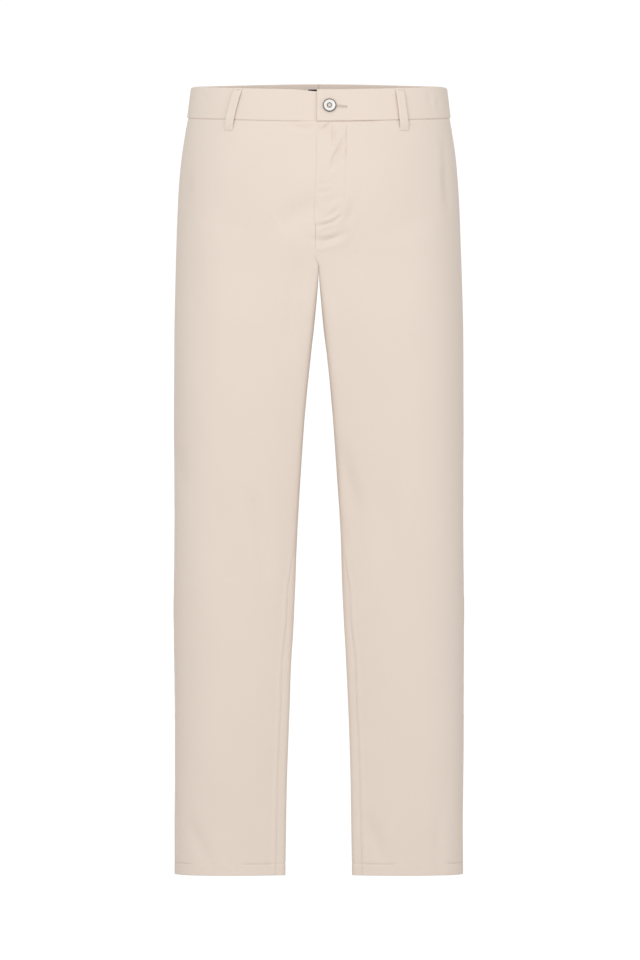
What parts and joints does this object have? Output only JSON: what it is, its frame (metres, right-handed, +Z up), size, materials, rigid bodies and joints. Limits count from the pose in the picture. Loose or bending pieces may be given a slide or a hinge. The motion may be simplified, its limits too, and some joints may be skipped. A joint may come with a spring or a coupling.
{
  "type": "linen trousers",
  "caption": "Straight-leg linen trousers, filled out as worn and hollow, with a fly front, one waist button, belt loops, slant side pockets and turned hems.",
  "frame": {"origin": "middle of the waist opening, halfway up the waistband at the sides, where the wearer's waist holds the trousers", "axes": "+X to the wearer's left, +Y to the back, +Z up; the front faces -Y"},
  "size_m": [0.384, 0.2373, 1.0564],
  "materials": {
    "linen": "matt plain-weave linen, off-white",
    "pocketing": "matt cotton pocketing",
    "label": "bare woven tape, dark navy",
    "zip": "woven tape with a closed coil",
    "button": "polished, silvery grey"
  },
  "bodies": {
    "root": {"front_left": "linen", "front_right": "linen", "back_left": "linen", "back_right": "linen", "waistband_left": "linen", "waistband_right": "linen", "pocket_facing_left": "linen", "pocket_facing_right": "linen", "pocket_bag_left": "pocketing", "pocket_bag_right": "pocketing", "hem_left": "linen", "hem_right": "linen", "fly_underlap": "linen", "fly_zip": "zip", "belt_loop_front_right": "linen", "belt_loop_front_left": "linen", "belt_loop_back_right": "linen", "belt_loop_back_left": "linen", "belt_loop_centre_back": "linen", "label": "label", "button": "button"}
  },
  "joints": []
}
